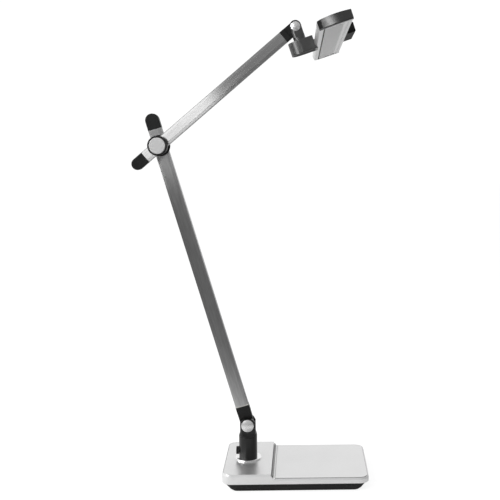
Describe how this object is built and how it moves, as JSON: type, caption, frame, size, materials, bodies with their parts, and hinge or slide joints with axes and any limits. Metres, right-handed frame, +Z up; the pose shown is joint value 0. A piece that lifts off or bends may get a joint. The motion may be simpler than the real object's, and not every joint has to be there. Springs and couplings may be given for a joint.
{
  "type": "desk lamp",
  "caption": "Adjustable-arm desk lamp: weighted base with a pen tray, swivel post, two flat arms and a long bar-shaped LED head with a touch control.",
  "frame": {"origin": "where the post's swivel axis meets the table top, on the underside of the base", "axes": "+X along the base from the post towards the pen tray, +Y across the base towards its rear wall with the power inlet, +Z up; right-handed"},
  "size_m": [0.3204, 0.3834, 0.634],
  "materials": {
    "silver_paint": "satin",
    "plate_paint": "fine satin",
    "black_plastic": "satin",
    "black_gloss": "polished",
    "black_metal": "satin black",
    "rubber": "matt",
    "steel": "plain zinc",
    "cast_weight": "rough",
    "chrome": "polished",
    "brass": "plain",
    "arm_aluminium": "satin anodised",
    "head_aluminium": "satin anodised",
    "diffuser": "frosted white",
    "washer_nylon": "natural",
    "board": "white solder mask",
    "board_green": "solder mask",
    "led": "phosphor",
    "lead": "smooth",
    "touch_glass": "polished"
  },
  "bodies": {
    "base": {"base_shell": "silver_paint", "deck_plate": "plate_paint", "tray_plate": "plate_paint", "base_tray": "black_plastic", "rubber_feet": "rubber", "base_screws": "steel", "ballast_plate": "cast_weight", "dc_inlet": "black_plastic", "dc_pin": "brass", "base_lead": "lead", "collar_ring": "chrome", "post_socket": "black_metal", "post_nut": "steel", "swivel_washer": "black_plastic"},
    "swivel_lock": {"thumb_knob": "black_plastic", "thumb_shank": "steel"},
    "post_head": {"clevis": "black_metal", "swivel_spigot": "steel", "tilt_bolt": "steel", "tilt_cap_front": "chrome", "tilt_cap_rear": "chrome", "tilt_washers": "washer_nylon"},
    "lower_arm": {"lower_foot": "black_plastic", "lower_tube": "arm_aluminium", "lower_top_cap": "black_plastic", "lower_rivets": "steel", "lower_lead": "lead", "elbow_bush": "washer_nylon", "elbow_hub": "black_plastic"},
    "upper_arm": {"upper_tube": "arm_aluminium", "upper_tail_cap": "black_plastic", "tip_fitting": "black_plastic", "upper_rivets": "steel", "upper_lead": "lead", "elbow_bolt": "steel", "knob_ring": "black_plastic", "knob_disc": "head_aluminium", "spring_washer": "steel", "elbow_nut": "steel", "elbow_rear_cap": "black_plastic"},
    "wrist": {"wrist_yoke": "black_gloss", "wrist_bolt": "steel", "wrist_cap_front": "chrome", "wrist_cap_rear": "chrome", "wrist_washers": "washer_nylon", "pan_pin": "steel", "pan_retainer": "steel"},
    "head": {"swivel_block": "black_plastic", "swivel_cover": "black_plastic", "pan_washer": "washer_nylon", "head_screws": "steel", "head_extrusion": "head_aluminium", "diffuser": "diffuser", "led_board": "board", "led_chips": "led", "end_caps": "black_gloss", "end_cap_pins": "steel", "control_housing": "black_gloss", "touch_panel": "touch_glass", "driver_board": "board_green"}
  },
  "joints": [
    {"name": "base_swivel", "type": "hinge", "parent": "base", "child": "post_head", "pos_m": [0, 0, 0.058], "axis": [0, 0, 1], "range_deg": [-170, 170]},
    {"name": "lock_screw", "type": "hinge", "parent": "base", "child": "swivel_lock", "pos_m": [-0.0132, 0, 0.0361], "axis": [-1, 0, 0], "range_deg": [0, 360]},
    {"name": "base_tilt", "type": "hinge", "parent": "post_head", "child": "lower_arm", "pos_m": [0, 0, 0.0752], "axis": [0, 1, 0], "range_deg": [-30, 60]},
    {"name": "elbow", "type": "hinge", "parent": "lower_arm", "child": "upper_arm", "pos_m": [-0.11439, -0.012, 0.46892], "axis": [0, 1, 0], "range_deg": [-60, 50]},
    {"name": "wrist_tilt", "type": "hinge", "parent": "upper_arm", "child": "wrist", "pos_m": [0.07056, -0.012, 0.62577], "axis": [0, 1, 0], "range_deg": [-90, 3]},
    {"name": "head_pan", "type": "hinge", "parent": "wrist", "child": "head", "pos_m": [0.07638, -0.012, 0.60873], "axis": [0.3231, 0, -0.9464], "range_deg": [-90, 90]}
  ]
}
